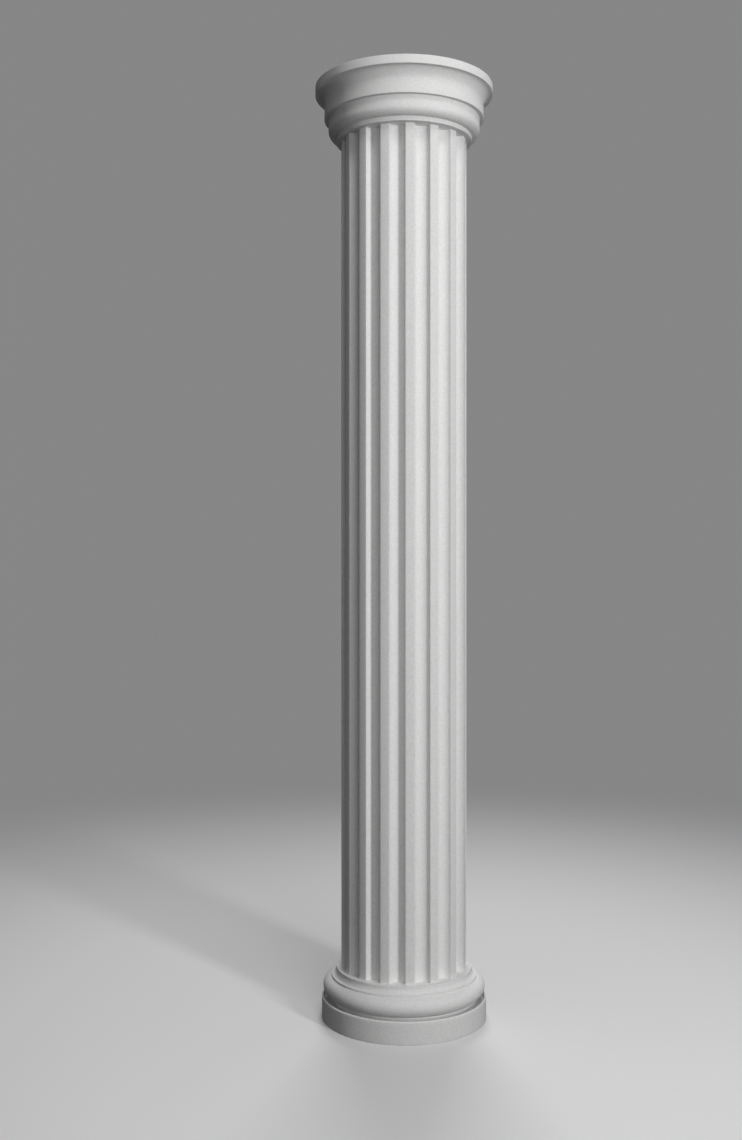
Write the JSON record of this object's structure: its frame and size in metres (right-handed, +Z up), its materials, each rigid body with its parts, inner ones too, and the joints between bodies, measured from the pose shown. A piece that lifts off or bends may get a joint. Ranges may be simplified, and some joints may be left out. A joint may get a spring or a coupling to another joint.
{
  "type": "column",
  "caption": "Free-standing round fluted column with a moulded base and capital, for display or interior decoration.",
  "frame": {"origin": "centre of the base's underside, on the column's axis", "axes": "+Z up along the column's axis; -Y is the side that the picture shows, with a fillet between two flutes 3.9 degrees to the right of it"},
  "size_m": [0.425, 0.425, 2.222],
  "materials": {
    "base": "matt white cast plaster",
    "shaft": "matt white cast plaster",
    "capital": "matt white cast plaster"
  },
  "bodies": {
    "root": {"base": "base", "shaft": "shaft", "capital": "capital"}
  },
  "joints": []
}
